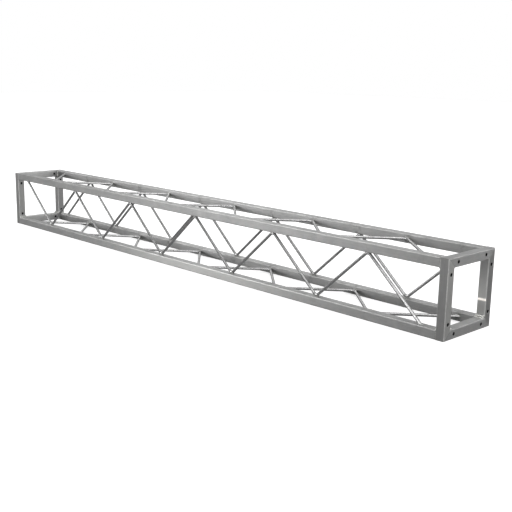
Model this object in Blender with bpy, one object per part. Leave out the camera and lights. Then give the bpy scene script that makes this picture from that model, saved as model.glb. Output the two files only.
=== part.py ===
"""Square box truss section for stage lighting, 2 m long and 200 mm square.

Four square-tube chords run between two square end frames. Each frame is four mitred
tube members, drilled for the bolts that join one section to the next. On each of the
four sides one round bar, bent into a zig-zag, runs between two chords.

Units are metres, +Z is up and +X runs along the truss. The front is the side facing -Y.
The origin is at the middle of the underside, so the truss stands on z = 0.

The section is the same seen from all four sides, so every piece is modelled once, on or
next to the top side, and turned about the truss's centre line for the other sides.
"""

import math

import bmesh
import bpy
from mathutils import Vector

# Driving dimensions
LENGTH = 2.000            # over both end frames
SIDE = 0.200              # height and width over the tubes
TUBE = 0.025              # outer side of the square tube
WALL = 0.002              # its wall
CORNER_RADIUS = 0.0025    # its rounded outer edges
INNER_RADIUS = 0.0005     # its inner edges
ROD_DIAMETER = 0.008      # lacing bar
BEND_RADIUS = 0.012       # centre line of a bend in the lacing bar
DIAGONALS = 11            # straight runs of one lacing bar, an odd number
LACING_START = 0.077      # from the truss's end to where a lacing bar meets its chord
HOLE_DIAMETER = 0.009     # clearance for an M8 bolt
HOLE_FROM_CORNER = 0.040  # from the frame's outer corner to a hole's centre
GAP = 0.0003              # between pieces that touch; welds fill it on a real truss

# Fineness of the round shapes
CORNER_SEGMENTS = 3
ROD_SIDES = 10
BEND_SEGMENTS = 5
HOLE_SIDES = 28
SHARP_ANGLE = math.radians(35)

# Worked out from the driving dimensions
CLEAR = SIDE - 2 * TUBE               # between the facing sides of two chords
TUBE_OFFSET = (SIDE - TUBE) / 2       # from the truss's centre line to a tube's middle
FRAME_X = (LENGTH - TUBE) / 2         # middle plane of an end frame
CHORD_LENGTH = LENGTH - 2 * (TUBE + GAP)
HALF_PITCH = (LENGTH - 2 * LACING_START) / DIAGONALS
QUARTER_TURN = math.pi / 2

# Names in the order in which quarter turns about +X carry the top side round
SIDES = ("top", "front", "bottom", "back")
CHORD_PLACES = ("back_top", "front_top", "front_bottom", "back_bottom")


def clear_scene():
    """Remove whatever the file started with."""
    for obj in list(bpy.data.objects):
        bpy.data.objects.remove(obj, do_unlink=True)


def make_material(name, colour, roughness):
    """A plain metal."""
    material = bpy.data.materials.new(name)
    material.use_nodes = True
    shader = material.node_tree.nodes["Principled BSDF"]
    shader.inputs["Base Color"].default_value = (*colour, 1.0)
    shader.inputs["Roughness"].default_value = roughness
    shader.inputs["Metallic"].default_value = 1.0
    return material


def mesh_from(bm, name, material=None):
    """Finish a bmesh: faces outward, round stretches smooth, one material."""
    bmesh.ops.recalc_face_normals(bm, faces=bm.faces)
    mesh = bpy.data.meshes.new(name)
    bm.to_mesh(mesh)
    bm.free()
    mesh.shade_smooth()
    mesh.set_sharp_from_angle(angle=SHARP_ANGLE)
    if material:
        mesh.materials.append(material)
    return mesh


def add_object(name, mesh, parent=None):
    """Put a mesh into the scene."""
    obj = bpy.data.objects.new(name, mesh)
    obj.parent = parent
    bpy.context.scene.collection.objects.link(obj)
    return obj


def bridge_rings(bm, rings):
    """Join each ring of vertices to the next with a band of quads."""
    for ring, following in zip(rings, rings[1:]):
        for i, vert in enumerate(ring):
            j = (i + 1) % len(ring)
            bm.faces.new((vert, ring[j], following[j], following[i]))


def rounded_square(side, radius):
    """Points round a square with rounded corners, centred on nothing."""
    reach = side / 2 - radius
    points = []
    for quarter in range(4):
        diagonal = QUARTER_TURN * (quarter + 0.5)
        centre = (math.copysign(reach, math.cos(diagonal)), math.copysign(reach, math.sin(diagonal)))
        for step in range(CORNER_SEGMENTS + 1):
            angle = QUARTER_TURN * (quarter + step / CORNER_SEGMENTS)
            points.append((centre[0] + radius * math.cos(angle), centre[1] + radius * math.sin(angle)))
    return points


def square_tube(name, material, half_length, lean=0.0):
    """A square tube along X, open at both ends.

    lean is how much longer each end grows for each metre towards +Z: 0 is a square cut
    and 1 is a mitre. half_length is measured at the tube's centre line.
    """
    outside = rounded_square(TUBE, CORNER_RADIUS)
    inside = rounded_square(TUBE - 2 * WALL, INNER_RADIUS)
    bm = bmesh.new()
    rings = []
    for section, end in ((outside, -1), (outside, 1), (inside, 1), (inside, -1)):
        rings.append([bm.verts.new((end * (half_length + lean * z), y, z)) for y, z in section])
    bridge_rings(bm, rings + rings[:1])
    return mesh_from(bm, name, material)


def bolt_drill():
    """Two cylinders along Y that pass through both walls of a frame member."""
    bm = bmesh.new()
    for side in (-1, 1):
        cylinder = bmesh.ops.create_cone(bm, cap_ends=True, segments=HOLE_SIDES, radius1=HOLE_DIAMETER / 2,
                                         radius2=HOLE_DIAMETER / 2, depth=2 * TUBE)
        hole_x = side * (SIDE / 2 - HOLE_FROM_CORNER)
        for vert in cylinder["verts"]:
            vert.co = Vector((vert.co.x + hole_x, vert.co.z, -vert.co.y))
    return add_object("bolt_drill", mesh_from(bm, "bolt_drill"))


def frame_member(material):
    """The top member of an end frame, along Y, mitred at both ends and drilled along X."""
    mitre_gap = GAP / math.sqrt(2)
    blank = add_object("blank", square_tube("blank", material, TUBE_OFFSET - mitre_gap, lean=1.0))
    drill = bolt_drill()
    cut = blank.modifiers.new("bolt_holes", "BOOLEAN")
    cut.operation = "DIFFERENCE"
    cut.object = drill
    drilled = blank.evaluated_get(bpy.context.evaluated_depsgraph_get())
    mesh = bpy.data.meshes.new_from_object(drilled)
    mesh.name = "frame_member"
    for vert in mesh.vertices:
        vert.co = (-vert.co.y, vert.co.x, vert.co.z + TUBE_OFFSET)
    for helper in (blank, drill):
        bpy.data.objects.remove(helper, do_unlink=True)
    return mesh


def lacing_path():
    """Centre line of a lacing bar, as (along, across) points.

    along is counted from the truss's end, across from the face of the chord that the
    bar starts on. A straight run is the line that touches two bends from inside, and
    its angle from square across follows from where the centres of their arcs lie.
    """
    arc_height = GAP + ROD_DIAMETER / 2 + BEND_RADIUS
    rise = CLEAR - 2 * arc_height
    slant = math.atan2(HALF_PITCH, rise) - math.asin(2 * BEND_RADIUS / math.hypot(HALF_PITCH, rise))
    half_turn = QUARTER_TURN - slant
    path = []
    for bend in range(1, DIAGONALS):
        outward = 1 if bend % 2 else -1
        middle = CLEAR / 2 + outward * rise / 2
        for step in range(BEND_SEGMENTS + 1):
            angle = half_turn * (2 * step / BEND_SEGMENTS - 1)
            path.append(Vector((LACING_START + bend * HALF_PITCH + BEND_RADIUS * math.sin(angle),
                                middle + outward * BEND_RADIUS * math.cos(angle))))
    first, last = path[0], path[-1]
    start = Vector((first.x - (first.y - GAP) * math.tan(slant), GAP))
    finish = Vector((last.x + (CLEAR - GAP - last.y) * math.tan(slant), CLEAR - GAP))
    return [start, *path, finish]


def ring_directions(path):
    """For each point of the path, the in-plane direction of the ring of vertices there.

    Rings between two runs stand on their mitre, longer than 1 to keep the bar's width.
    The rings at the ends lie along the chord, because the bar is cut to sit flat on it.
    """
    runs = [(b - a).normalized() for a, b in zip(path, path[1:])]
    normals = [Vector((-run.y, run.x)) for run in runs]
    along = Vector((1.0, 0.0))
    directions = [along / along.dot(normals[0])]
    for before, after in zip(normals, normals[1:]):
        mitre = (before + after).normalized()
        directions.append(mitre / mitre.dot(before))
    directions.append(along / along.dot(normals[-1]))
    return directions


def lacing_bar(material):
    """The zig-zag bar of the top side, which starts on the back chord."""
    path = lacing_path()
    bm = bmesh.new()
    rings = []
    for point, direction in zip(path, ring_directions(path)):
        ring = []
        for k in range(ROD_SIDES):
            angle = 2 * math.pi * (k + 0.5) / ROD_SIDES
            offset = direction * (math.cos(angle) * ROD_DIAMETER / 2)
            ring.append(bm.verts.new((point.x + offset.x - LENGTH / 2,
                                      CLEAR / 2 - (point.y + offset.y),
                                      TUBE_OFFSET + math.sin(angle) * ROD_DIAMETER / 2)))
        rings.append(ring)
    bridge_rings(bm, rings)
    bm.faces.new(rings[0])
    bm.faces.new(rings[-1])
    return mesh_from(bm, "lacing_bar", material)


def chord(material):
    """The chord at the back top corner."""
    mesh = square_tube("chord", material, CHORD_LENGTH / 2)
    for vert in mesh.vertices:
        vert.co += Vector((0.0, TUBE_OFFSET, TUBE_OFFSET))
    return mesh


def add_turned_copies(names, mesh, parent, x=0.0):
    """One object for each name, each a quarter turn about +X on from the one before."""
    for quarter, name in enumerate(names):
        obj = add_object(name, mesh, parent)
        obj.location = (x, 0.0, 0.0)
        obj.rotation_euler = (quarter * QUARTER_TURN, 0.0, 0.0)


def build_truss():
    """The whole section, hung on an empty at the middle of its centre line."""
    tube_metal = make_material("mill_finish_tube", (0.45, 0.45, 0.46), roughness=0.45)
    bar_metal = make_material("drawn_round_bar", (0.62, 0.62, 0.63), roughness=0.25)
    centre_line = add_object("truss_centre_line", None)
    centre_line.location = (0.0, 0.0, SIDE / 2)
    add_turned_copies([f"chord_{place}" for place in CHORD_PLACES], chord(tube_metal), centre_line)
    member = frame_member(tube_metal)
    for end, x in (("left", -FRAME_X), ("right", FRAME_X)):
        add_turned_copies([f"{end}_frame_{side}" for side in SIDES], member, centre_line, x)
    add_turned_copies([f"lacing_{side}" for side in SIDES], lacing_bar(bar_metal), centre_line)


clear_scene()
build_truss()
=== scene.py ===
# %% [markdown]
# # A square box truss for stage lights
#
# The object is two metres of welded aluminium truss: square tubes along the four corners,
# a drilled square frame at each end, and on each side one round bar bent to and fro
# between two tubes. A fixed frame holds its true sizes. This notebook gives it its looks:
# finer tubes and bars, the welds that join them, the metal, and a pale studio.

# %% Load the frame
import math
import random

import bmesh
import bpy
from mathutils import Matrix, Vector


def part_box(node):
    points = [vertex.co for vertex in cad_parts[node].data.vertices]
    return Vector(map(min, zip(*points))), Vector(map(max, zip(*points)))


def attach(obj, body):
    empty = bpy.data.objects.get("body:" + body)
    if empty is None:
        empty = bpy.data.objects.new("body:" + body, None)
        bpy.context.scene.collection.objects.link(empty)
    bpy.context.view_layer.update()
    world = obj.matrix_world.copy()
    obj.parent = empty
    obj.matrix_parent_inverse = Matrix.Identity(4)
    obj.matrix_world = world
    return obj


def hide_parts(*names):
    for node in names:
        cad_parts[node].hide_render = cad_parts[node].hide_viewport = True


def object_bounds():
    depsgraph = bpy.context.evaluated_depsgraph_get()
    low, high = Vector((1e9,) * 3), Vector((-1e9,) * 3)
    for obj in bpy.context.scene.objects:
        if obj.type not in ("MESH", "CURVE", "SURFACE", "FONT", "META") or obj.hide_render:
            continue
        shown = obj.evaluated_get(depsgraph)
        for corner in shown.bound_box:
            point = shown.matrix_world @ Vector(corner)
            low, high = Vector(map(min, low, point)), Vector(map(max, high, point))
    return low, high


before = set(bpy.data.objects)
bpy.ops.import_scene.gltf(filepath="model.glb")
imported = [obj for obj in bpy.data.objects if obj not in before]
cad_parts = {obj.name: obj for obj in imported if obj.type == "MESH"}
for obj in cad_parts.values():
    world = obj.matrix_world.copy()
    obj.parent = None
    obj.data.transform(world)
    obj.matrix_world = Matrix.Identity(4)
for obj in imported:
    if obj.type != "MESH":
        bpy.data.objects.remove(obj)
cad_low, cad_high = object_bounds()
print("frame nodes:", len(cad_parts), "box:", [round(v, 4) for v in cad_high - cad_low])

# %% [markdown]
# ## Sizes
#
# Every size below is read off the frame's own pieces, or is a maker's small dimension,
# such as the thickness of a tube's wall, that the frame's boxes can't tell.

# %% Sizes of the truss
MM = 0.001

chord_low, chord_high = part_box("chord_front_top")
bar_low, bar_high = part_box("lacing_top")

TUBE = chord_high.z - chord_low.z
SIDE = cad_high.z - cad_low.z
LENGTH = cad_high.x - cad_low.x
CHORD_LENGTH = chord_high.x - chord_low.x
BAR = bar_high.z - bar_low.z
AXIS_Z = cad_low.z + SIDE / 2              # height of the truss's centre line
CLEAR = SIDE - 2 * TUBE                    # from one tube's face to the facing one
TUBE_OFFSET = (SIDE - TUBE) / 2            # from the centre line to a tube's middle
TOP_Z = AXIS_Z + TUBE_OFFSET               # height of the upper tubes' middle

WALL = 2 * MM
CORNER_RADIUS = 2.5 * MM
HOLE = 9 * MM
HOLE_FROM_CORNER = 40 * MM
BAR_START = 77 * MM                        # from the truss's end to where a bar begins
BEND_RADIUS = 12 * MM
DIAGONALS = 11
QUARTER_TURN = math.pi / 2

print(f"tube {TUBE / MM:.1f} mm, side {SIDE / MM:.1f} mm, length {LENGTH:.3f} m, bar {BAR / MM:.1f} mm")

# %% [markdown]
# ## Working by hand, in code
#
# The pieces are modelled as they would be by hand: a primitive is added, shaped in edit
# mode, and finished with modifiers. An operator acts on everything selected, so nothing
# is left selected before a primitive is added, and faces or edges are then picked by
# their place. These helpers do the picking, and keep each finished piece at the origin.

# %% Helpers for selecting and finishing
FLAT = 0.9999                              # a flat side's normal has this much of one axis
FACING = 0.9                               # a face looks along a direction from here on


def deselect_all():
    for obj in bpy.context.selected_objects:
        obj.select_set(False)


def make_active(obj):
    deselect_all()
    obj.select_set(True)
    bpy.context.view_layer.objects.active = obj


def pick(kind, chosen):
    """In edit mode, select only the verts, edges or faces for which chosen(item) is true."""
    bpy.ops.mesh.select_mode(type=kind)
    bpy.ops.mesh.select_all(action="DESELECT")
    bm = bmesh.from_edit_mesh(bpy.context.object.data)
    items = {"VERT": bm.verts, "EDGE": bm.edges, "FACE": bm.faces}[kind]
    for item in items:
        if chosen(item):
            item.select_set(True)
    bm.select_flush_mode()
    bmesh.update_edit_mesh(bpy.context.object.data)


def apply_modifiers(obj):
    make_active(obj)
    for modifier in list(obj.modifiers):
        bpy.ops.object.modifier_apply(modifier=modifier.name)


def settle(obj):
    """Put the piece's place into its mesh, so that its object sits at the origin."""
    make_active(obj)
    bpy.ops.object.transform_apply(location=True, rotation=True, scale=True)


def smooth_shading(obj, sharp_over=35):
    make_active(obj)
    bpy.ops.object.shade_smooth_by_angle(angle=math.radians(sharp_over))


def flatten_sides(obj):
    """Shade the flat sides flat, so that only the rounded corners look round."""
    make_active(obj)
    bpy.ops.object.mode_set(mode="EDIT")
    pick("FACE", lambda face: max(abs(part) for part in face.normal) > FLAT)
    bpy.ops.mesh.faces_shade_flat()
    bpy.ops.object.mode_set(mode="OBJECT")


def turned_copy(source, name, quarters, shift_x=0.0):
    """A copy with its own mesh, turned about the truss's centre line and moved along it."""
    piece = source.copy()
    piece.data = source.data.copy()
    piece.name = name
    piece.data.name = name
    bpy.context.scene.collection.objects.link(piece)
    to_centre = Matrix.Translation((0.0, 0.0, -AXIS_Z))
    turn = Matrix.Rotation(quarters * QUARTER_TURN, 4, "X")
    piece.data.transform(Matrix.Translation((shift_x, 0.0, AXIS_Z)) @ turn @ to_centre)
    return piece

# %% [markdown]
# ## The chords
#
# The four long tubes at the corners are extruded aluminium: square, 2 mm thick, with
# their outer edges rounded by the die. The frame's tubes have only three facets round
# each edge, so each is made again here. A cube is stretched to size, its long edges are
# bevelled, its ends are taken off, and Solidify gives it the wall. Modelling the outside
# alone and thickening it keeps the wall even, also round the edges.

# %% Square tube
LONG_EDGE = 1.5 * TUBE                     # only the edges along a tube are longer


def square_tube(name, axis, size, location):
    """A tube with rounded edges along the given axis (0, 1 or 2), open at both ends."""
    deselect_all()
    bpy.ops.mesh.primitive_cube_add(size=1, location=location, scale=size)
    tube = bpy.context.object
    tube.name = name
    settle(tube)
    bpy.ops.object.mode_set(mode="EDIT")
    pick("EDGE", lambda edge: abs((edge.verts[0].co - edge.verts[1].co)[axis]) > LONG_EDGE)
    bpy.ops.mesh.bevel(offset=CORNER_RADIUS, segments=6, profile=0.5)
    pick("FACE", lambda face: abs(face.normal[axis]) > FACING)
    bpy.ops.mesh.delete(type="FACE")
    bpy.ops.object.mode_set(mode="OBJECT")
    wall = tube.modifiers.new("wall", "SOLIDIFY")
    wall.thickness = WALL
    wall.offset = -1.0
    wall.use_even_offset = True
    apply_modifiers(tube)
    smooth_shading(tube)
    flatten_sides(tube)
    return tube

# %% [markdown]
# ## Marks for the metal to read
#
# A tube isn't alike all over: its rounded edges are rubbed and lightened as a painted edge
# highlight, its inside is darkened as painted shade, and its two inner sides carry the welds
# and their grey dust. A noise pattern doesn't know where these places are, but the mesh does.
# So each face is given a number for each mark, as an attribute, and the material reads them
# later. They turn with a copy of the piece.

# %% Mark the faces of a tube
SKIN = 0.45 * WALL                         # a face that lies deeper than this is inside
SQUARE = 0.01                              # a normal square to the tube has less along it
STEEPEST = 1 - math.sqrt(0.5)              # the slope, as below, in the middle of a rounded edge
INWARDS = -0.7                             # an inner side's normal is below this in Y or Z
DUST_OUTSIDE = 0.3                         # weld dust on an outer side, against an inner one


def add_mark(piece, name, values):
    piece.data.attributes.new(name, "FLOAT", "FACE").data.foreach_set("value", values)


def mark_faces(tube, axis, middle):
    """Mark the faces of a top tube; a drilled hole's wall counts as inside, so it gets the painted shade.
    """
    rubbed, inside, beside_weld = [], [], []
    for face in tube.data.polygons:
        offset = [abs(c - m) for c, m in zip(face.center, middle)]
        offset[axis] = 0.0
        is_inside = max(offset) < TUBE / 2 - SKIN
        slope = 1 - max(abs(part) for part in face.normal)
        is_round = not is_inside and abs(face.normal[axis]) < SQUARE
        # how far round a corner the face lies; the metal lightens it as wear and as a painted edge
        # highlight
        rubbed.append(math.sqrt(slope / STEEPEST) if is_round else 0.0)
        inside.append(float(is_inside))
        beside_weld.append(1.0 if min(face.normal) < INWARDS else DUST_OUTSIDE)
    add_mark(tube, "rubbed", rubbed)
    add_mark(tube, "inside", inside)
    add_mark(tube, "beside_weld", beside_weld)


# %% Four chords
chord_middle = (0.0, TUBE_OFFSET, TOP_Z)
first_chord = square_tube("tube_back_top", 0, (CHORD_LENGTH, TUBE, TUBE), chord_middle)
mark_faces(first_chord, 0, chord_middle)
CHORD_PLACES = ("back_top", "front_top", "front_bottom", "back_bottom")
chords = {"back_top": first_chord}
for quarters, place in enumerate(CHORD_PLACES[1:], start=1):
    chords[place] = turned_copy(first_chord, f"tube_{place}", quarters)
for place, tube in chords.items():
    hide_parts(f"chord_{place}")
print("chords:", len(chords), "faces in each:", len(first_chord.data.polygons))

# %% [markdown]
# ## The end frames
#
# Each end frame is four lengths of the same tube, sawn at 45 degrees and welded into a
# square. It is drilled through both walls for the bolts that join one truss to the next.
# A tube is made too long and cut by two slanting planes, which also close the end of the
# wall. The drill is a cylinder that flares where it meets the outside, so that the
# Boolean leaves each hole with the small chamfer of a deburring tool.

# %% Frame members
DEBURR = 0.4 * MM


def mitre(tube, side):
    """Cut one end of the top member at 45 degrees and close the cut wall."""
    bpy.ops.object.mode_set(mode="EDIT")
    bpy.ops.mesh.select_all(action="SELECT")
    bpy.ops.mesh.bisect(plane_co=(0.0, side * SIDE / 2, AXIS_Z + SIDE / 2),
                        plane_no=(0.0, side, -1.0), use_fill=True, clear_outer=True)
    bpy.ops.object.mode_set(mode="OBJECT")


def drill(y, x):
    """A cylinder across the top member, a little wider where it leaves the tube."""
    deselect_all()
    bpy.ops.mesh.primitive_cylinder_add(vertices=40, radius=HOLE / 2, depth=TUBE - 2 * DEBURR,
                                        location=(x, y, TOP_Z), rotation=(0.0, QUARTER_TURN, 0.0))
    cutter = bpy.context.object
    settle(cutter)
    bpy.ops.object.mode_set(mode="EDIT")
    flare = 1 + 4 * DEBURR / HOLE
    for end in (-1, 1):
        pick("FACE", lambda face: face.normal.x * end > FACING)
        pull = (end * 2 * DEBURR, 0.0, 0.0)
        bpy.ops.mesh.extrude_region_move(TRANSFORM_OT_translate={"value": pull})
        bpy.ops.transform.resize(value=(1.0, flare, flare))
    bpy.ops.object.mode_set(mode="OBJECT")
    return cutter


def frame_member(name, x):
    """The top member of an end frame whose middle plane is at x."""
    middle = (x, 0.0, TOP_Z)
    member = square_tube(name, 1, (TUBE, SIDE + 2 * TUBE, TUBE), middle)
    for side in (-1, 1):
        mitre(member, side)
        cutter = drill(side * (SIDE / 2 - HOLE_FROM_CORNER), x)
        hole = member.modifiers.new("bolt_hole", "BOOLEAN")
        hole.operation = "DIFFERENCE"
        hole.object = cutter
        apply_modifiers(member)
        bpy.data.objects.remove(cutter)
    smooth_shading(member)
    flatten_sides(member)
    mark_faces(member, 1, middle)
    return member


SIDES = ("top", "front", "bottom", "back")
FRAME_X = (LENGTH - TUBE) / 2
members = {}
first_member = frame_member("end_left_top", -FRAME_X)
for end, shift in (("left", 0.0), ("right", 2 * FRAME_X)):
    for quarters, side in enumerate(SIDES):
        is_first = end == "left" and side == "top"
        name = f"end_{end}_{side}"
        piece = first_member if is_first else turned_copy(first_member, name, quarters, shift)
        members[end, side] = piece
        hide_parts(f"{end}_frame_{side}")
print("frame members:", len(members), "faces in each:", len(first_member.data.polygons))

# %% [markdown]
# ## Painted highlights and a knock on single pieces
#
# A used truss also has marks that only one tube has. Some sides are painted lighter, as a
# painted highlight, and the upright at the right-hand end's back has a knock across its front
# side, where a shallow step catches the light; round the knock the side is painted brighter,
# and a painted glint lies on the step. The other tubes must not show these, so only the sides
# that have them are marked.

# %% Mark single sides
FORWARDS = Vector((0.0, -1.0, 0.0))
RIGHTWARDS = Vector((1.0, 0.0, 0.0))


def mark_side(piece, name, direction, strength=1.0):
    """Mark the piece's outer faces that look in one direction."""
    values = []
    for face, inside in zip(piece.data.polygons, piece.data.attributes["inside"].data):
        is_marked = face.normal.dot(direction) > FACING and not inside.value
        values.append(strength if is_marked else 0.0)
    add_mark(piece, name, values)


# Painted highlights on three sides, and the knock that carries a painted glint.
mark_side(chords["front_bottom"], "painted_highlight", FORWARDS)
mark_side(members["left", "front"], "painted_highlight", RIGHTWARDS, strength=0.5)
mark_side(members["right", "front"], "painted_highlight", RIGHTWARDS)
mark_side(members["right", "back"], "knocked_with_painted_glint", FORWARDS)

# %% [markdown]
# ## The lacing bars
#
# Each side is braced by one 8 mm round bar, bent to and fro on a bending pin. It touches
# the tubes only at the outside of each bend, where it is welded. The bar is drawn out as
# it was bent: a disc is pulled along the first straight run, spun round the pin, pulled
# along the next run, and so on. A curve with a round bevel would look the same, but this
# way the run's length and the pin's place are the only sizes needed. Both ends are then
# cut flat against the tubes they are welded to.

# %% Where the bar goes
HALF_PITCH = (LENGTH - 2 * BAR_START) / DIAGONALS      # from one bend to the next, along X
# The bending pins stand this far from the centre line.
PIN_HEIGHT = (bar_high.y - bar_low.y) / 2 - BAR / 2 - BEND_RADIUS
rise = 2 * PIN_HEIGHT
pin_distance = math.hypot(HALF_PITCH, rise)
SLANT = math.atan2(HALF_PITCH, rise) - math.asin(2 * BEND_RADIUS / pin_distance)
RUN = math.sqrt(pin_distance ** 2 - (2 * BEND_RADIUS) ** 2)   # straight stretch between bends
BEND_ANGLE = math.pi - 2 * SLANT
print(f"runs lean {math.degrees(SLANT):.1f} deg and are {RUN / MM:.1f} mm straight")
print(f"bends turn {math.degrees(BEND_ANGLE):.1f} deg")


def bend_x(bend):
    """Where along the truss a bend lies; bend 0 and bend 11 are the bar's two ends."""
    return -LENGTH / 2 + BAR_START + bend * HALF_PITCH


# %% Draw out one bar
def bent_bar(name):
    """The bar of the top side, which starts on the back chord and first runs forward."""
    spare = 3 * BAR                           # cut off later, past the tube's face
    first_pin = Vector((bend_x(1), -PIN_HEIGHT, TOP_Z))
    heading = Vector((math.sin(SLANT), -math.cos(SLANT), 0.0))
    outward = Vector((-math.cos(SLANT), -math.sin(SLANT), 0.0))
    end_run = (CLEAR / 2 + PIN_HEIGHT) / math.cos(SLANT) + spare
    start = first_pin + outward * BEND_RADIUS - heading * end_run
    deselect_all()
    bpy.ops.mesh.primitive_circle_add(vertices=20, radius=BAR / 2, fill_type="NGON",
                                      location=start, rotation=(QUARTER_TURN, 0.0, SLANT))
    bar = bpy.context.object
    bar.name = name
    settle(bar)
    bpy.ops.object.mode_set(mode="EDIT")
    bpy.ops.mesh.select_all(action="SELECT")
    bpy.ops.mesh.extrude_region_move(TRANSFORM_OT_translate={"value": heading * end_run})
    for bend in range(1, DIAGONALS):
        side = -1 if bend % 2 else 1
        bpy.ops.mesh.spin(steps=10, angle=side * BEND_ANGLE, axis=(0.0, 0.0, 1.0),
                          center=(bend_x(bend), side * PIN_HEIGHT, TOP_Z))
        heading.y = -heading.y
        length = RUN if bend < DIAGONALS - 1 else end_run
        bpy.ops.mesh.extrude_region_move(TRANSFORM_OT_translate={"value": heading * length})
    for cut_side in (-1, 1):
        bpy.ops.mesh.select_all(action="SELECT")
        bpy.ops.mesh.bisect(plane_co=(0.0, cut_side * CLEAR / 2, TOP_Z),
                            plane_no=(0.0, cut_side, 0.0), use_fill=True, clear_outer=True)
    bpy.ops.mesh.select_all(action="SELECT")
    bpy.ops.mesh.normals_make_consistent(inside=False)
    bpy.ops.object.mode_set(mode="OBJECT")
    smooth_shading(bar)
    return bar


first_bar = bent_bar("bar_top")
bars = {"top": first_bar}
for quarters, side in enumerate(SIDES[1:], start=1):
    bars[side] = turned_copy(first_bar, f"bar_{side}", quarters)
for side, bar in bars.items():
    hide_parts(f"lacing_{side}")
low = [min(v.co[i] for v in first_bar.data.vertices) for i in range(3)]
high = [max(v.co[i] for v in first_bar.data.vertices) for i in range(3)]
print("bar spans", [round(v, 4) for v in low], [round(v, 4) for v in high])

# %% [markdown]
# ## Weld beads
#
# The pieces are joined by TIG welding: the welder dips the filler rod once for each small
# pool, which leaves a row of ripples. One bead is modelled as a disc pulled along in
# short steps, wide on one step and narrower on the next, with tapered ends. Every seam
# gets its own stretched copy, turned a little differently, because no two are alike.

# %% One bead to copy
BEAD_RIPPLES = 9
BEAD_TIP = 0.45                            # radius at its ends, against its full radius
BEAD_NECK = 0.86                           # radius between two ripples
random.seed(11)


def model_bead():
    """A bead of unit length and unit radius along X, centred on the origin."""
    steps = 2 * BEAD_RIPPLES
    deselect_all()
    bpy.ops.mesh.primitive_circle_add(vertices=10, radius=BEAD_TIP, fill_type="NGON",
                                      location=(-0.5, 0.0, 0.0), rotation=(0.0, QUARTER_TURN, 0.0))
    bead = bpy.context.object
    bead.name = "bead"
    settle(bead)
    bpy.ops.object.mode_set(mode="EDIT")
    bpy.ops.mesh.select_all(action="SELECT")
    width = BEAD_TIP
    for step in range(steps):
        bpy.ops.mesh.extrude_region_move(TRANSFORM_OT_translate={"value": (1 / steps, 0.0, 0.0)})
        wanted = 1.0 if step % 2 == 0 else BEAD_NECK
        if step == steps - 1:
            wanted = BEAD_TIP
        bpy.ops.transform.resize(value=(1.0, wanted / width, wanted / width))
        width = wanted
    bpy.ops.mesh.select_all(action="SELECT")
    bpy.ops.mesh.normals_make_consistent(inside=False)
    bpy.ops.object.mode_set(mode="OBJECT")
    smooth_shading(bead, sharp_over=80)
    return bead


bead_model = model_bead()


# %% Lay and join beads
def lay_bead(start, end, radius):
    """A copy of the bead from start to end, with its place in its mesh."""
    start, end = Vector(start), Vector(end)
    along = end - start
    turn = Vector((1.0, 0.0, 0.0)).rotation_difference(along).to_matrix().to_4x4()
    roll = Matrix.Rotation(random.uniform(0, math.tau), 4, "X")
    thickness = radius * random.uniform(0.9, 1.1)
    size = Matrix.Diagonal((along.length, thickness, thickness, 1.0))
    piece = bead_model.copy()
    piece.data = bead_model.data.copy()
    bpy.context.scene.collection.objects.link(piece)
    piece.data.transform(Matrix.Translation((start + end) / 2) @ turn @ size @ roll)
    return piece


def join_pieces(pieces, name):
    """Join separate beads into one named piece."""
    deselect_all()
    for piece in pieces:
        piece.select_set(True)
    bpy.context.view_layer.objects.active = pieces[0]
    bpy.ops.object.join()
    pieces[0].name = name
    pieces[0].data.name = name
    return pieces[0]

# %% [markdown]
# ## Welds of the lacing bars
#
# A bend only touches the chord, so it gets a short bead on either side of the bar. The
# cut end of a bar is welded all round. A torus, stretched to the slanting cut and with
# every second step drawn in, gives that ring its ripples.

# %% Welds of one lacing bar
RING_STEPS = 36
RING_THICKNESS = 1.2 * MM
RING_RIPPLE = 0.25 * MM
BEND_BEAD = 1.7 * MM                       # its radius
BEND_BEAD_HALF = 8 * MM                    # half its length
BEND_BEAD_SLIP = 1.0 * MM                  # how far it may sit off the middle of the bend
BESIDE_BAR = 0.85                          # its height, against the bar's radius


def end_ring(x, y):
    """The weld round an end of the top side's bar."""
    deselect_all()
    bpy.ops.mesh.primitive_torus_add(major_segments=RING_STEPS, minor_segments=10,
                                     major_radius=BAR / 2, minor_radius=RING_THICKNESS,
                                     location=(x, y, TOP_Z), rotation=(QUARTER_TURN, 0.0, 0.0))
    ring = bpy.context.object
    ring.scale = (1 / math.cos(SLANT), 1.0, 1.0)
    settle(ring)

    def on_even_step(vert):
        turns = math.atan2(vert.co.z - TOP_Z, vert.co.x - x) / math.tau
        return round(turns * RING_STEPS) % 2 == 0

    bpy.ops.object.mode_set(mode="EDIT")
    pick("VERT", on_even_step)
    bpy.ops.transform.shrink_fatten(value=-RING_RIPPLE)
    bpy.ops.object.mode_set(mode="OBJECT")
    smooth_shading(ring, sharp_over=80)
    return ring


def lacing_welds(name):
    """The welds of the top side's bar: two beads at each bend and a ring at each end."""
    pieces = []
    for bend in range(1, DIAGONALS):
        y = (-1 if bend % 2 else 1) * CLEAR / 2
        for above in (-1, 1):
            z = TOP_Z + above * BESIDE_BAR * BAR / 2
            middle_x = bend_x(bend) + random.uniform(-BEND_BEAD_SLIP, BEND_BEAD_SLIP)
            pieces.append(lay_bead((middle_x - BEND_BEAD_HALF, y, z),
                                   (middle_x + BEND_BEAD_HALF, y, z), BEND_BEAD))
    pieces.append(end_ring(bend_x(0), CLEAR / 2))
    pieces.append(end_ring(bend_x(DIAGONALS), -CLEAR / 2))
    return join_pieces(pieces, name)


welds = [lacing_welds("lacing_welds_top")]
for quarters, side in enumerate(SIDES[1:], start=1):
    welds.append(turned_copy(welds[0], f"lacing_welds_{side}", quarters))
print("welds on each bar:", 2 * (DIAGONALS - 1), "beads and 2 rings")

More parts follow.
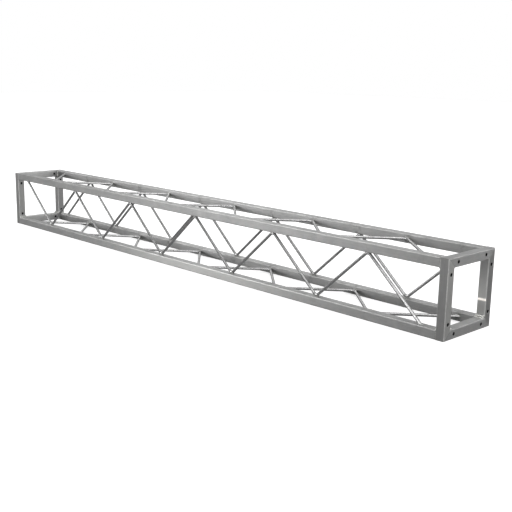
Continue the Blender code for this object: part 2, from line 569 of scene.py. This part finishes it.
# %% [markdown]
# ## Welds of the end frames
#
# At each corner three seams are easy to see: a stout fillet in the inside corner of the
# square frame, two fillets where a chord's inner sides meet the frame, and a narrow bead
# along the outer edge of the mitre. Where a chord lies flush with the frame's outside,
# the weld is ground down to a fine line. The two lower inside corners have a second pass.
# One corner is made at a time and turned to its place.

# %% Welds of one frame corner
FILLET = 3.0 * MM                          # radii of the beads
INNER_FILLET = 3.2 * MM
EDGE_BEAD = 1.45 * MM
FLUSH_BEAD = 0.7 * MM
HEAVY_PASS = 4 * MM                        # how far two passes lie from the corner
EDGE_INSET = 1.3 * MM                      # how deep a bead's middle lies in the tube
FLUSH_INSET = 0.6 * MM
SHORT_OF = 1 * MM                          # how far a bead stops short of a tube's edge


def corner_welds(is_heavy):
    """The seams of the back top corner of the left end frame, with one or two passes inside."""
    inner, outer = CLEAR / 2, SIDE / 2
    end_x, joint_x = -LENGTH / 2, -LENGTH / 2 + TUBE
    inside_from, inside_to = end_x + SHORT_OF, joint_x + SHORT_OF
    near, far = inner + SHORT_OF, outer - SHORT_OF
    passed = inner - (HEAVY_PASS if is_heavy else 0.0)
    edge, flush = outer - EDGE_INSET, outer - FLUSH_INSET
    flush_far = outer - 2 * SHORT_OF
    seams = [
        ((inside_from, inner, passed), (inside_to, inner, passed), INNER_FILLET),
        ((joint_x, inner, near), (joint_x, inner, far), FILLET),
        ((joint_x, near, inner), (joint_x, far, inner), FILLET),
        ((end_x + SHORT_OF / 2, edge, edge), (joint_x, edge, edge), EDGE_BEAD),
        ((joint_x, flush, near), (joint_x, flush, flush_far), FLUSH_BEAD),
        ((joint_x, near, flush), (joint_x, flush_far, flush), FLUSH_BEAD),
    ]
    if is_heavy:
        seams.append(((inside_from, passed, inner), (inside_to, passed, inner), INNER_FILLET))
    pieces = []
    for (from_x, from_y, from_z), (to_x, to_y, to_z), radius in seams:
        start = (from_x, from_y, from_z + AXIS_Z)
        end = (to_x, to_y, to_z + AXIS_Z)
        pieces.append(lay_bead(start, end, radius))
    return pieces


for end in ("left", "right"):
    pieces = []
    for quarters in range(4):
        is_lower = quarters >= 2
        one_corner = join_pieces(corner_welds(is_heavy=is_lower), "corner")
        if end == "right":
            one_corner.data.transform(Matrix.Diagonal((-1.0, 1.0, 1.0, 1.0)))
            one_corner.data.flip_normals()
        pieces.append(turned_copy(one_corner, "corner_turned", quarters))
        bpy.data.objects.remove(one_corner)
    welds.append(join_pieces(pieces, f"frame_welds_{end}"))
bpy.data.objects.remove(bead_model)
print("weld pieces:", [piece.name for piece in welds])

# %% [markdown]
# ## Materials: what the metal looks like
#
# All of it is aluminium, left as it came from the mill. The tubes are extruded: a satin
# grey with faint lines from the die along their length, dull patches from handling and a
# thin, even oxide. The bars are drawn through a polished die, so they are smoother and
# brighter. The welds have frozen from the melt. Colours are sRGB hex values, turned to
# the linear numbers that Blender works in by one function, and one other function adds a
# node with its settings and links.

# %% Helpers for materials
def srgb(hex_colour):
    """Linear red, green, blue and alpha of a colour such as "8A8C8E"."""
    channels = [int(hex_colour[i:i + 2], 16) / 255 for i in (0, 2, 4)]
    return (*[c / 12.92 if c <= 0.04045 else ((c + 0.055) / 1.055) ** 2.4 for c in channels], 1.0)


def add_node(tree, kind, settings=None, inputs=None):
    """Add a node; an input given as another node's output is linked, anything else is set."""
    made = tree.nodes.new(kind)
    for key, value in (settings or {}).items():
        setattr(made, key, value)
    for key, value in (inputs or {}).items():
        if isinstance(value, bpy.types.NodeSocket):
            tree.links.new(value, made.inputs[key])
        else:
            made.inputs[key].default_value = value
    return made


def new_material(name, settings):
    """A Principled material; settings are for sockets that stay the same all over."""
    material = bpy.data.materials.new(name)
    material.use_nodes = True
    tree = material.node_tree
    shader = tree.nodes["Principled BSDF"]
    for key, value in settings.items():
        shader.inputs[key].default_value = value
    return material, tree, shader

# %% [markdown]
# ## Where the marks fade
#
# A mark on a face is all or nothing, but wear and dust fade. So a mark is multiplied by a
# shape: 1 at a place along the piece, falling softly to 0 some way off. Weld dust does so
# beside every bend of the bars, and there a noise breaks it up into clouds.

# %% Shapes of marks
SMUT_REACH = 20 * MM      # how far the grey dust of welding reaches from a joint
SMUT_CLOUD = 9 * MM       # size of its clouds


def fading(tree, distance, reach):
    """1 where the distance is 0, falling softly to 0 at the reach."""
    fade = add_node(tree, "ShaderNodeMapRange", {"interpolation_type": "SMOOTHSTEP"},
                    {"Value": distance, "From Min": 0.0, "From Max": reach, "To Min": 1.0, "To Max": 0.0})
    return fade.outputs["Result"]


def coordinate_from(tree, place, axis, zero):
    """The place's coordinate along an axis, counted from zero."""
    coordinate = add_node(tree, "ShaderNodeSeparateXYZ", {}, {"Vector": place}).outputs[axis]
    return add_node(tree, "ShaderNodeMath", {"operation": "SUBTRACT"}, {0: coordinate, 1: zero}).outputs[0]


def hump(tree, place, axis, middle, half_width):
    """1 where the coordinate is at the middle, falling softly to 0 half a width away."""
    away = coordinate_from(tree, place, axis, middle)
    distance = add_node(tree, "ShaderNodeMath", {"operation": "ABSOLUTE"}, {0: away}).outputs[0]
    return fading(tree, distance, half_width)


def weld_smut(tree, place):
    """1 beside the bars' bends and 0 away from them, broken up by noise."""
    from_first = coordinate_from(tree, place, 0, bend_x(0))
    to_bend = add_node(tree, "ShaderNodeMath", {"operation": "PINGPONG"},
                       {0: from_first, 1: HALF_PITCH / 2}).outputs[0]
    cloud = add_node(tree, "ShaderNodeTexNoise", {},
                     {"Vector": place, "Scale": 1 / SMUT_CLOUD, "Detail": 3.0}).outputs["Fac"]
    dust = add_node(tree, "ShaderNodeMapRange", {},
                    {"Value": cloud, "From Min": 0.42, "From Max": 0.68}).outputs["Result"]
    near = fading(tree, to_bend, SMUT_REACH)
    return add_node(tree, "ShaderNodeMath", {"operation": "MULTIPLY"}, {0: near, 1: dust}).outputs[0]


def mark_on(tree, name, shape=1.0):
    """How strongly the piece's faces carry the named mark, times a shape."""
    mark = add_node(tree, "ShaderNodeAttribute", {"attribute_name": name}).outputs["Fac"]
    return add_node(tree, "ShaderNodeMath", {"operation": "MULTIPLY"}, {0: mark, 1: shape}).outputs[0]

# %% [markdown]
# ## The tubes' metal
#
# The real tube is a 6000-series aluminium alloy, pressed through a steel die and left
# bare. The die draws fine lines along it, which the eye sees less as lines than as a
# sheen: highlights spread out across them. Anisotropy gives that sheen and needs to know
# which way the tube runs, so there is one material for each direction. The colour is
# laid on in layers, each covering the ones before it where its mark is strong.

# %% Mill-finish extruded aluminium
DIE_LINE = 2.5 * MM       # real lines are a tenth of this; drawn coarser so that they show
LINE_LENGTH = 260 * MM
LINE_DEPTH = 0.1 * MM
LINE_SHARE = 0.45         # how much the lines count in the colour, against the patches
PATCH = 55 * MM           # dull and bright patches from handling
SCUFF = 14 * MM           # small rough spots
WEAR_AND_HIGHLIGHT_SPOT = 9 * MM        # how unevenly the corners are rubbed and lightened as a painted highlight
SMUT_COVER = 0.65         # how much of the metal the thickest weld dust hides
HIGHLIGHT_MIDDLE = 0.1       # where along the lower front chord the painted highlight is strongest
HIGHLIGHT_HALF = 0.6         # and how far to either side it fades away
KNOCK_HEIGHT = 71 * MM    # the knock in the upright, above the floor
KNOCK_HALF = 5 * MM
KNOCK_DEPTH = 1.3 * MM
GLINT_BRIGHTENING_REACH = 95 * MM    # how far the painted brightening reaches above and below the knock
SATIN = (0.40, 0.32)      # roughness where the sheen is lowest and highest
SCUFFED = 0.07            # how much a scuff adds to it
LEAST_WEAR_AND_HIGHLIGHT = 0.6          # wear and painted highlight where a corner gets least, against most
# For tubes along X, Y and Z: how much their corners are lightened, as wear and as a painted
# edge highlight, and how rough scratched.
WEAR_AND_HIGHLIGHT = (0.2, 0.0, 1.0)
DULL_CORNER = (0.2, 0.45, 0.0)


def finish_colour(tree, axis, place, sheen, rounded):
    """The colour of a tube, from bare metal up."""
    # Rounded corners are lightened unevenly, as rubbed wear and as a painted edge highlight.
    spots = add_node(tree, "ShaderNodeTexNoise", {}, {"Vector": place, "Scale": 1 / WEAR_AND_HIGHLIGHT_SPOT})
    uneven = add_node(tree, "ShaderNodeMapRange", {},
                      {"Value": spots.outputs["Fac"], "From Min": 0.35, "From Max": 0.65,
                       "To Min": LEAST_WEAR_AND_HIGHLIGHT * WEAR_AND_HIGHLIGHT[axis], "To Max": WEAR_AND_HIGHLIGHT[axis]})
    wear_and_highlight = add_node(tree, "ShaderNodeMath", {"operation": "MULTIPLY"},
                    {0: rounded, 1: uneven.outputs["Result"]}).outputs[0]
    layers = [(sheen, "B8B8B7")]                          # cleaner metal
    if axis == 0:
        smut = mark_on(tree, "beside_weld", weld_smut(tree, place))
        faint = add_node(tree, "ShaderNodeMath", {"operation": "MULTIPLY"}, {0: smut, 1: SMUT_COVER})
        layers.append((faint.outputs[0], "6C6C6A"))       # weld dust
    layers.append((wear_and_highlight, "FFFFFD"))                       # rubbed corners, and a painted edge highlight
    # Painted highlight on single sides, strongest mid-way along the lower front chord.
    highlight_shape = hump(tree, place, 0, HIGHLIGHT_MIDDLE, HIGHLIGHT_HALF) if axis == 0 else 1.0
    layers.append((mark_on(tree, "painted_highlight", highlight_shape), "D2D2D0"))
    if axis == 2:
        # Painted brightening round the knock, and a painted glint across its step.
        painted_brightening_round_knock = hump(tree, place, 2, KNOCK_HEIGHT, GLINT_BRIGHTENING_REACH)
        painted_glint = hump(tree, place, 2, KNOCK_HEIGHT, KNOCK_HALF)
        layers.append((mark_on(tree, "knocked_with_painted_glint", painted_brightening_round_knock), "DCDCDA"))
        layers.append((mark_on(tree, "knocked_with_painted_glint", painted_glint), "FFF8F0"))        # painted glint on the knock's step
    layers.append((mark_on(tree, "inside"), "383838"))    # painted shade inside the tube and in its bolt holes
    colour = srgb("A2A2A2")                               # bare metal under a thin oxide
    for amount, layer in layers:
        mixed = add_node(tree, "ShaderNodeMix", {"data_type": "RGBA"},
                         {"Factor": amount, "A": colour, "B": srgb(layer)})
        colour = mixed.outputs["Result"]
    return colour


def finish_roughness(tree, axis, place, sheen, rounded):
    """Satin, duller where the sheen is low, in scuffs, and on scratched corners."""
    dull = add_node(tree, "ShaderNodeMapRange", {},
                    {"Value": sheen, "From Min": 0.0, "From Max": 1.0,
                     "To Min": SATIN[0], "To Max": SATIN[1]})
    scuffs = add_node(tree, "ShaderNodeTexNoise", {},
                      {"Vector": place, "Scale": 1 / SCUFF, "Detail": 4.0, "Distortion": 1.2})
    scuffed = add_node(tree, "ShaderNodeMapRange", {},
                       {"Value": scuffs.outputs["Fac"], "From Min": 0.56, "From Max": 0.66,
                        "To Min": 0.0, "To Max": SCUFFED})
    both = add_node(tree, "ShaderNodeMath", {"operation": "ADD"},
                    {0: dull.outputs["Result"], 1: scuffed.outputs["Result"]})
    scratched = add_node(tree, "ShaderNodeMath", {"operation": "MULTIPLY_ADD"},
                         {0: rounded, 1: DULL_CORNER[axis], 2: both.outputs[0]})
    return scratched.outputs[0]


def finish_normal(tree, axis, place, lines):
    """Die lines along the tube, and on an upright the step of the knock."""
    ridges = {"Height": lines, "Strength": 0.25, "Distance": LINE_DEPTH}
    normal = add_node(tree, "ShaderNodeBump", {}, ridges).outputs["Normal"]
    if axis == 2:
        above = coordinate_from(tree, place, 2, KNOCK_HEIGHT - KNOCK_HALF)
        step = mark_on(tree, "knocked_with_painted_glint", fading(tree, above, 2 * KNOCK_HALF))
        dent = {"Height": step, "Distance": KNOCK_DEPTH, "Normal": normal}
        normal = add_node(tree, "ShaderNodeBump", {}, dent).outputs["Normal"]
    return normal


def mill_finish(name, axis, stretch):
    """Extruded aluminium whose die lines run along the given axis."""
    material, tree, shader = new_material(name, {"Metallic": 1.0, "Anisotropic": stretch})
    across = [1 / DIE_LINE] * 3
    across[axis] = 1 / LINE_LENGTH
    place = add_node(tree, "ShaderNodeTexCoord").outputs["Object"]
    along = add_node(tree, "ShaderNodeMapping", {}, {"Vector": place, "Scale": across}).outputs["Vector"]
    lines = add_node(tree, "ShaderNodeTexNoise", {},
                     {"Vector": along, "Scale": 1.0, "Detail": 3.0}).outputs["Fac"]
    patches = add_node(tree, "ShaderNodeTexNoise", {},
                       {"Vector": place, "Scale": 1 / PATCH, "Detail": 5.0, "Roughness": 0.62})
    mixed = add_node(tree, "ShaderNodeMath", {"operation": "MULTIPLY_ADD"},
                     {0: lines, 1: LINE_SHARE, 2: patches.outputs["Fac"]}).outputs[0]
    sheen = add_node(tree, "ShaderNodeMapRange", {},
                     {"Value": mixed, "From Min": 0.5, "From Max": 0.95}).outputs["Result"]
    # The rounded corners: rougher, and lightened as wear and as a painted edge highlight.
    rounded = add_node(tree, "ShaderNodeAttribute", {"attribute_name": "rubbed"}).outputs["Fac"]
    around = add_node(tree, "ShaderNodeTangent", {"direction_type": "RADIAL", "axis": "XYZ"[axis]})
    driven = {
        "Base Color": finish_colour(tree, axis, place, sheen, rounded),
        "Roughness": finish_roughness(tree, axis, place, sheen, rounded),
        "Normal": finish_normal(tree, axis, place, lines),
        "Tangent": around.outputs["Tangent"],
    }
    for socket, output in driven.items():
        tree.links.new(output, shader.inputs[socket])
    return material


tube_metals = [
    mill_finish("mill_finish_x", 0, 0.7),
    mill_finish("mill_finish_y", 1, 0.7),
    mill_finish("mill_finish_z", 2, 0.4),
]

# %% [markdown]
# ## Bar and weld metal
#
# The lacing bars are aluminium round bar, drawn cold through a polished die. The surface
# is smoother than the tubes', so on such a thin bar the eye sees one bright narrow line
# between darker edges. The welds are aluminium filler that froze from the melt and was
# wire-brushed: pale, a little grainy, and as shiny as the tubes or more. Both have a
# noise that shifts colour and roughness together, because a rubbed spot is both brighter
# and smoother.

# %% Drawn bar and weld metal
HANDLING_MARK = 9 * MM    # spots on the bars
WELD_GRAIN = 2 * MM       # real grain is finer; drawn coarser so that it shows


def spotted_metal(name, spot, detail, colours, colour_range, roughness):
    """A metal whose noise turns one colour into another, and rough into smooth."""
    material, tree, shader = new_material(name, {"Metallic": 1.0})
    place = add_node(tree, "ShaderNodeTexCoord").outputs["Object"]
    spots = add_node(tree, "ShaderNodeTexNoise", {},
                     {"Vector": place, "Scale": 1 / spot, "Detail": detail}).outputs["Fac"]
    ramp = add_node(tree, "ShaderNodeValToRGB", {}, {"Fac": spots})
    for stop, position, colour in zip(ramp.color_ramp.elements, colour_range, colours):
        stop.position = position
        stop.color = srgb(colour)
    rubbed = add_node(tree, "ShaderNodeMapRange", {},
                      {"Value": spots, "From Min": 0.3, "From Max": 0.7,
                       "To Min": roughness[0], "To Max": roughness[1]})
    tree.links.new(ramp.outputs["Color"], shader.inputs["Base Color"])
    tree.links.new(rubbed.outputs["Result"], shader.inputs["Roughness"])
    return material


bar_metal = spotted_metal("drawn_aluminium_bar", HANDLING_MARK, 3.0,
                          ("B4B4B4", "CECECE"), (0.35, 0.7), (0.25, 0.18))
weld_bead_metal = spotted_metal("tig_weld_metal", WELD_GRAIN, 2.0,
                                ("A4A4A2", "CCCCC8"), (0.3, 0.65), (0.34, 0.22))


# %% Give each piece its metal
def dress(piece, material):
    piece.data.materials.clear()
    piece.data.materials.append(material)
    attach(piece, "root")


for tube in chords.values():
    dress(tube, tube_metals[0])
for (end, side), member in members.items():
    dress(member, tube_metals[1 if side in ("top", "bottom") else 2])
for bar in bars.values():
    dress(bar, bar_metal)
for weld in welds:
    dress(weld, weld_bead_metal)
print("dressed:", len(chords) + len(members), "tubes,", len(bars), "bars,", len(welds), "weld pieces")

# %% [markdown]
# ## The studio
#
# The truss lies on a plain pale floor in front of a white background. Satin metal shows
# what is around it more than what shines on it. So the floor and walls that it mirrors
# are greyer than the ones that the camera sees, and the lights are far and wide, each
# like a soft panel at the end of a large room.

# %% Floor and backdrop
FLOOR_SIZE = 30
FLOOR_GAP = 0.2 * MM      # keeps the floor from touching the tubes
FLOOR_GLOW = 0.62         # lifts the floor to an even white
WALL_SHADE = (0.25, 0.25, 0.25, 1.0)
WHITE = (1.0, 1.0, 1.0, 1.0)


def for_camera(tree, mirrored, seen):
    """One colour for what the metal mirrors, and another for what the camera sees."""
    is_camera = add_node(tree, "ShaderNodeLightPath").outputs["Is Camera Ray"]
    shade = add_node(tree, "ShaderNodeMix", {"data_type": "RGBA"},
                     {"Factor": is_camera, "A": mirrored, "B": seen})
    return is_camera, shade.outputs["Result"]


def pale_floor():
    """Matt painted board: no gloss, only a very faint shadow under the truss."""
    deselect_all()
    bpy.ops.mesh.primitive_plane_add(size=FLOOR_SIZE, location=(0.0, 0.0, cad_low.z - FLOOR_GAP))
    floor = bpy.context.object
    floor.name = "studio_floor"
    settings = {"Roughness": 0.9, "Specular IOR Level": 0.1, "Emission Color": WHITE}
    material, tree, shader = new_material("pale_floor", settings)
    is_camera, shade = for_camera(tree, srgb("868686"), srgb("D8D8D8"))
    glow = add_node(tree, "ShaderNodeMath", {"operation": "MULTIPLY"}, {0: is_camera, 1: FLOOR_GLOW})
    tree.links.new(shade, shader.inputs["Base Color"])
    tree.links.new(glow.outputs[0], shader.inputs["Emission Strength"])
    floor.data.materials.append(material)


def studio_walls():
    """An even, dim room to mirror, and white behind the truss."""
    world = bpy.data.worlds.new("studio_walls")
    bpy.context.scene.world = world
    world.use_nodes = True
    tree = world.node_tree
    shade = for_camera(tree, WALL_SHADE, WHITE)[1]
    tree.links.new(shade, tree.nodes["Background"].inputs["Color"])


pale_floor()
studio_walls()

# %% [markdown]
# ## Lights
#
# Each light is a sun lamp with a wide angle: round, soft and so far off that it lights
# both ends of the two-metre truss alike. A bare tube is as bright as what it mirrors, so
# every side of the truss needs a light in its own mirror direction, bright for the sides
# that should shine and dim for the ones that should stay dark.

# %% Lights
LIGHTS = [  # azimuth counted from the right-hand end, height and spread in degrees; brightness
    ("overhead", 0, 90, 60, 0.65),
    ("strip_low", 224, 6, 16, 4.4),
    ("strip_high", 222, 24, 32, 3.1),
    ("front_low", 258, 8, 20, 1.15),
    ("front_right", 285, 12, 38, 4.1),
    ("right_front_low", 330, 10, 24, 1.25),
    ("right_front_high", 330, 50, 40, 1.95),
    ("right_high", 20, 28, 36, 1.8),
    ("right_low", 28, 10, 34, 1.5),
    ("right_back_high", 60, 28, 36, 2.15),
    ("right_back_low", 66, 6, 20, 2.1),
    ("back_left_high", 140, 32, 24, 1.5),
    ("back_left_low", 150, 10, 30, 0.45),
    ("back_low", 115, 10, 30, 0.45),
]


def soft_light(name, azimuth, height, spread, brightness):
    """A round soft light; its energy follows from how wide and how bright its disc looks."""
    data = bpy.data.lights.new(name, "SUN")
    data.angle = math.radians(spread)
    data.energy = brightness * math.pi * math.sin(data.angle / 2) ** 2
    light = bpy.data.objects.new(name, data)
    light.rotation_euler = (0.0, QUARTER_TURN - math.radians(height), math.radians(azimuth))
    light.visible_camera = False
    bpy.context.scene.collection.objects.link(light)


for row in LIGHTS:
    soft_light(*row)
print("lights:", len(LIGHTS))

# %% [markdown]
# ## Camera
#
# The camera stands at the right-hand end, a little above the truss, with a lens of about
# 60 mm. Its turn is three plain angles: round the vertical, downwards, and a slight tilt.

# %% Camera
CAMERA_PLACE = (2.0496, -1.7413, 0.6148)
YAW, DOWN, TILT = (math.radians(angle) for angle in (45.726, 12.387, 1.112))

camera_data = bpy.data.cameras.new("camera")
camera_data.lens = 59.74
camera_data.sensor_width = 36.0
camera = bpy.data.objects.new("camera", camera_data)
bpy.context.scene.collection.objects.link(camera)
camera.matrix_world = (Matrix.Translation(CAMERA_PLACE)
                       @ Matrix.Rotation(YAW, 4, "Z")
                       @ Matrix.Rotation(QUARTER_TURN - DOWN, 4, "X")
                       @ Matrix.Rotation(TILT, 4, "Z"))
bpy.context.scene.camera = camera
bpy.context.scene.view_settings.view_transform = "Standard"
